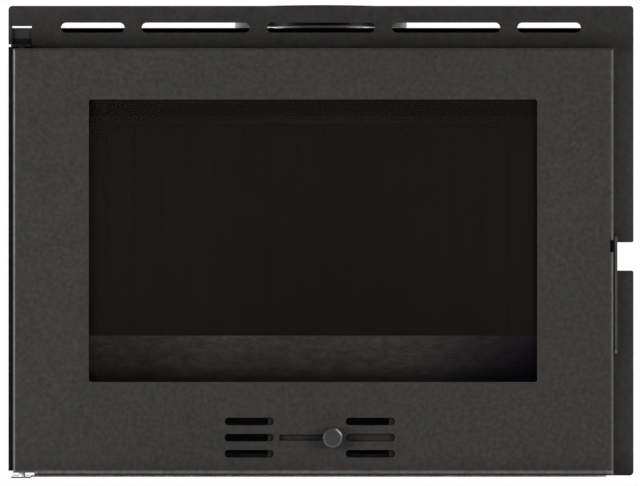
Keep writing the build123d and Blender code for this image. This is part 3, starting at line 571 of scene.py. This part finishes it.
def ring_points(centre_x, centre_z, half_w, half_h, corner, count):
    """Even steps along a rounded rectangle in X and Z, and its length.

    A step is its place, its outward direction and its share of the way.
    """
    flat_w, flat_h = 2 * (half_w - corner), 2 * (half_h - corner)
    arc = math.pi / 2 * corner
    total = 2 * (flat_w + flat_h) + 4 * arc
    centre = Vector((centre_x, 0, centre_z))
    steps = []
    for step in range(count):
        way = total * step / count
        turn = 0.0
        start = Vector((-flat_w / 2, 0, -half_h))
        for length in (flat_w, flat_h, flat_w, flat_h):
            ahead = Vector((math.cos(turn), 0, math.sin(turn)))
            outward = Vector((math.sin(turn), 0, -math.cos(turn)))
            if way <= length:
                place = start + ahead * way
                break
            way -= length
            middle = start + ahead * length - outward * corner
            if way <= arc:
                swing = way / corner
                outward = outward * math.cos(swing) + ahead * math.sin(swing)
                place = middle + outward * corner
                break
            way -= arc
            start = middle + ahead * corner
            turn += math.pi / 2
        steps.append((place + centre, outward, step / count))
    return steps, total


def loft(steps, sections):
    """A closed tube. Each section is a list of (outward, depth) pairs."""
    points = []
    for (place, outward, _), section in zip(steps, sections):
        for out, depth in section:
            points.append(place + outward * out + Vector((0, depth, 0)))
    return points, tube_faces(len(steps), len(sections[0]), closed=True)


def braided_rope():
    """The seal rope, with its braid of crossing strands as real relief."""
    low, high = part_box("door_gasket")
    middle_z = (low.z + high.z) / 2
    middle_y = (low.y + high.y) / 2
    thick = (high.y - low.y) / 2
    half_w = (high.x - low.x) / 2 - thick
    half_h = (high.z - low.z) / 2 - thick
    steps, total = ring_points(0, middle_z, half_w, half_h, ROPE_CORNER, ROPE_RINGS)
    repeats = round(total / ROPE_REPEAT)
    sections = []
    for _, _, share in steps:
        along = 2 * math.pi * repeats * share
        section = []
        for side in range(ROPE_SIDES):
            angle = 2 * math.pi * side / ROPE_SIDES
            first = math.cos((ROPE_STRANDS * angle + along) / 2)
            second = math.cos((ROPE_STRANDS * angle - along) / 2)
            over = ROPE_CROSSING * first * second
            height = max(abs(first) * (1 - ROPE_CROSSING + over),
                         abs(second) * (1 - ROPE_CROSSING - over))
            radius = thick * (1 - ROPE_RELIEF * (1 - height))
            section.append((radius * math.cos(angle), middle_y + radius * math.sin(angle)))
        sections.append(section)
    points, faces = loft(steps, sections)
    rope = new_piece("rope_braid", points, faces, "door", "seal_rope")
    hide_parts("door_gasket")


def woven_tape():
    """Flat tape under the glass, pillowed between its edges, with a woven rib."""
    low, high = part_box("glass_gasket")
    middle_x, middle_z = (low.x + high.x) / 2, (low.z + high.z) / 2
    middle_y, half_t = (low.y + high.y) / 2, (high.y - low.y) / 2
    half_w = (high.x - low.x - TAPE_WIDTH) / 2
    half_h = (high.z - low.z - TAPE_WIDTH) / 2
    steps, total = ring_points(middle_x, middle_z, half_w, half_h, TAPE_CORNER, TAPE_RINGS)
    ribs = round(total / TAPE_RIB)
    sections = []
    for _, _, share in steps:
        rib = 1 - TAPE_RELIEF + TAPE_RELIEF * math.cos(2 * math.pi * ribs * share)
        section = []
        for side in range(TAPE_SIDES):
            angle = 2 * math.pi * side / TAPE_SIDES
            across, thick = math.cos(angle), math.sin(angle)
            across = math.copysign(abs(across) ** TAPE_EDGE, across)
            thick = math.copysign(abs(thick) ** TAPE_FACE, thick) * rib
            section.append((across * TAPE_WIDTH / 2, middle_y + thick * half_t))
        sections.append(section)
    points, faces = loft(steps, sections)
    tape = new_piece("tape_weave", points, faces, "door", "seal_tape")
    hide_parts("glass_gasket")


def bead(name, path, first, second, size, body, closed=False):
    """A weld bead with ripples. At each place of the path, first and second span its section."""
    points = []
    way = 0.0
    wander = rng.uniform(0, 6.28)
    for number, place in enumerate(path):
        if number:
            way += (place - path[number - 1]).length
        ripple = RIPPLE_HEIGHT * math.sin(2 * math.pi * way / BEAD_RIPPLE)
        sway = SWAY_HEIGHT * math.sin(way / BEAD_SWAY + wander)
        at_end = number in (0, len(path) - 1) and not closed
        radius = size * (END_RADIUS if at_end else 1 + ripple + sway)
        for side in range(BEAD_SIDES):
            angle = 2 * math.pi * side / BEAD_SIDES
            out = first[number] * math.cos(angle) + second[number] * math.sin(angle)
            points.append(place + out * radius)
    faces = tube_faces(len(path), BEAD_SIDES, closed)
    if not closed:
        faces.append(tuple(range(BEAD_SIDES)))
        faces.append(tuple(range(len(points) - BEAD_SIDES, len(points))))
    return new_piece(name, points, faces, body, "weld")


def straight_bead(name, start, end, size, body):
    """A bead along one of the axes."""
    start, end = Vector(start), Vector(end)
    along = (end - start).normalized()
    steps = max(4, round((end - start).length / BEAD_STEP))
    path = [start.lerp(end, step / steps) for step in range(steps + 1)]
    first = along.orthogonal().normalized()
    second = along.cross(first)
    return bead(name, path, [first] * len(path), [second] * len(path), size, body)


def ring_bead(name, centre, radius, size, body):
    """A bead round an upright tube."""
    steps = round(2 * math.pi * radius / BEAD_STEP)
    turns = [2 * math.pi * step / steps for step in range(steps)]
    outward = [Vector((math.cos(turn), math.sin(turn), 0)) for turn in turns]
    path = [Vector(centre) + out * radius for out in outward]
    upward = [Vector((0, 0, 1))] * steps
    return bead(name, path, outward, upward, size, body, closed=True)


def edge_tacks(prefix, box, depth, along_width, along_height, size):
    """Short beads on the door, spread evenly along the four edges of a box."""
    low, high = box
    for number in range(along_width):
        x = low.x + (number + 0.5) * (high.x - low.x) / along_width
        for name, z in (("top", high.z), ("bottom", low.z)):
            straight_bead(f"{prefix}_{name}_{number}", (x - TACK_HALF, depth, z),
                          (x + TACK_HALF, depth, z), size, "door")
    for number in range(along_height):
        z = low.z + (number + 0.5) * (high.z - low.z) / along_height
        for name, x in (("left", low.x), ("right", high.x)):
            straight_bead(f"{prefix}_{name}_{number}", (x, depth, z - TACK_HALF),
                          (x, depth, z + TACK_HALF), size, "door")


def welds():
    """Weld beads where they show: at the collar, the hinge, the back of the door and the drawer."""
    flange_low, flange_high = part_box("flue_flange")
    collar_foot = (0, (flange_low.y + flange_high.y) / 2, flange_high.z + 0.3 * MM)
    ring_bead("collar_weld", collar_foot, SPIGOT_RADIUS, 1.7 * MM, "stove")

    bracket_low, bracket_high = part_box("upper_hinge_bracket")
    seam_x, seam_y = bracket_high.x, bracket_low.y + BRACKET_SEAM
    straight_bead("bracket_weld", (seam_x, seam_y, bracket_low.z + 3 * MM),
                  (seam_x, seam_y, bracket_high.z - 4 * MM), 1.9 * MM, "stove")

    bush_low, bush_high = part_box("hinge_bushes")
    bush_x = (bush_low.x + bush_high.x) / 2
    bush_y = (bush_low.y + bush_high.y) / 2
    bush_radius = (bush_high.x - bush_low.x) / 2
    for name, level in (("lower", bush_low.z), ("upper", bush_high.z)):
        ring_bead(name + "_bush_weld", (bush_x, bush_y, level), bush_radius, 1.1 * MM, "door")

    pan_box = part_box("inner_frame")
    channel_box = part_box("rope_channel")
    back = pan_box[1].y
    edge_tacks("pan_tack", pan_box, back, 5, 4, PAN_TACK)
    edge_tacks("channel_tack", channel_box, back, 4, 3, CHANNEL_TACK)

    handle_low, handle_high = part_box("drawer_handle")
    drawer_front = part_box("ash_drawer")[0].y
    for name, x in (("left", handle_low.x), ("right", handle_high.x)):
        straight_bead("handle_weld_" + name, (x, drawer_front, handle_low.z + 0.5 * MM),
                      (x, drawer_front, handle_high.z - 0.5 * MM), 1.0 * MM, "drawer")


braided_rope()
woven_tape()
welds()


def lamp(name, place, size, power):
    data = bpy.data.lights.new(name, "AREA")
    data.shape = "RECTANGLE"
    data.size, data.size_y = size
    data.energy = power
    made = bpy.data.objects.new(name, data)
    made.location = place
    made.rotation_mode = "QUATERNION"
    made.rotation_quaternion = (Vector(AIM) - Vector(place)).to_track_quat("-Z", "Y")
    bpy.context.scene.collection.objects.link(made)


def studio_world():
    """White to the camera. It lights the object as a room that is darker in front than behind."""
    sky = Look(bpy.data.worlds.new("studio"), "Generated")
    depth = sky.axis("Y")
    room = sky.span(depth, -1.0, 0.35, 0.14, 0.6, interpolation_type="SMOOTHSTEP")
    rays = sky.node("ShaderNodeLightPath").outputs
    bounced = sky.math("MAXIMUM", rays["Is Glossy Ray"], rays["Is Transmission Ray"])
    seen_behind = sky.product(bounced, sky.span(depth, -0.1, 0.5))
    white = sky.math("MAXIMUM", rays["Is Camera Ray"], seen_behind)
    strength = sky.span(white, 0.0, 1.0, room, 1.0)
    light = sky.filled("ShaderNodeBackground", Color=WHITE, Strength=strength)
    bpy.context.scene.world = sky.finish(light, "ShaderNodeOutputWorld")


def studio_floor():
    """Pale floor that stays close to white for the camera and keeps a soft shadow."""
    look = new_look("studio_floor")
    shade = look.varied(0.4, 0.84, 0.86, detail=2)
    pale = look.filled("ShaderNodeBsdfDiffuse", Color=look.dimmed(WHITE, shade))
    white = look.filled("ShaderNodeEmission", Color=WHITE, Strength=1.0)
    rays = look.node("ShaderNodeLightPath").outputs
    mostly = look.product(rays["Is Camera Ray"], 0.98)
    corners = [(x * FLOOR_REACH, y * FLOOR_REACH, FLOOR_LEVEL)
               for x, y in ((-1, -1), (1, -1), (1, 1), (-1, 1))]
    mesh = bpy.data.meshes.new("floor")
    mesh.from_pydata(corners, [], [(0, 1, 2, 3)])
    mesh.materials.append(look.finish(look.layered(mostly, pale, white)))
    floor = bpy.data.objects.new("floor", mesh)
    bpy.context.scene.collection.objects.link(floor)


def front_camera():
    data = bpy.data.cameras.new("camera")
    data.lens = CAMERA_LENS
    data.sensor_width = SENSOR_WIDTH
    data.clip_end = CAMERA_CLIP
    camera = bpy.data.objects.new("camera", data)
    camera.location = CAMERA_PLACE
    camera.rotation_euler = (math.pi / 2, 0, 0)
    bpy.context.scene.collection.objects.link(camera)
    bpy.context.scene.camera = camera


# Two large soft lamps at the sides and a weak one above, round a grey studio
lamp("lamp_left", (-2.9, -2.1, 0.45), SIDE_LAMP, 80)
lamp("lamp_right", (2.9, -2.3, 0.45), SIDE_LAMP, 62)
lamp("lamp_above", (0.3, -0.6, 3.0), UPPER_LAMP, 6)
studio_world()
studio_floor()
front_camera()
bpy.context.scene.view_settings.view_transform = "Standard"
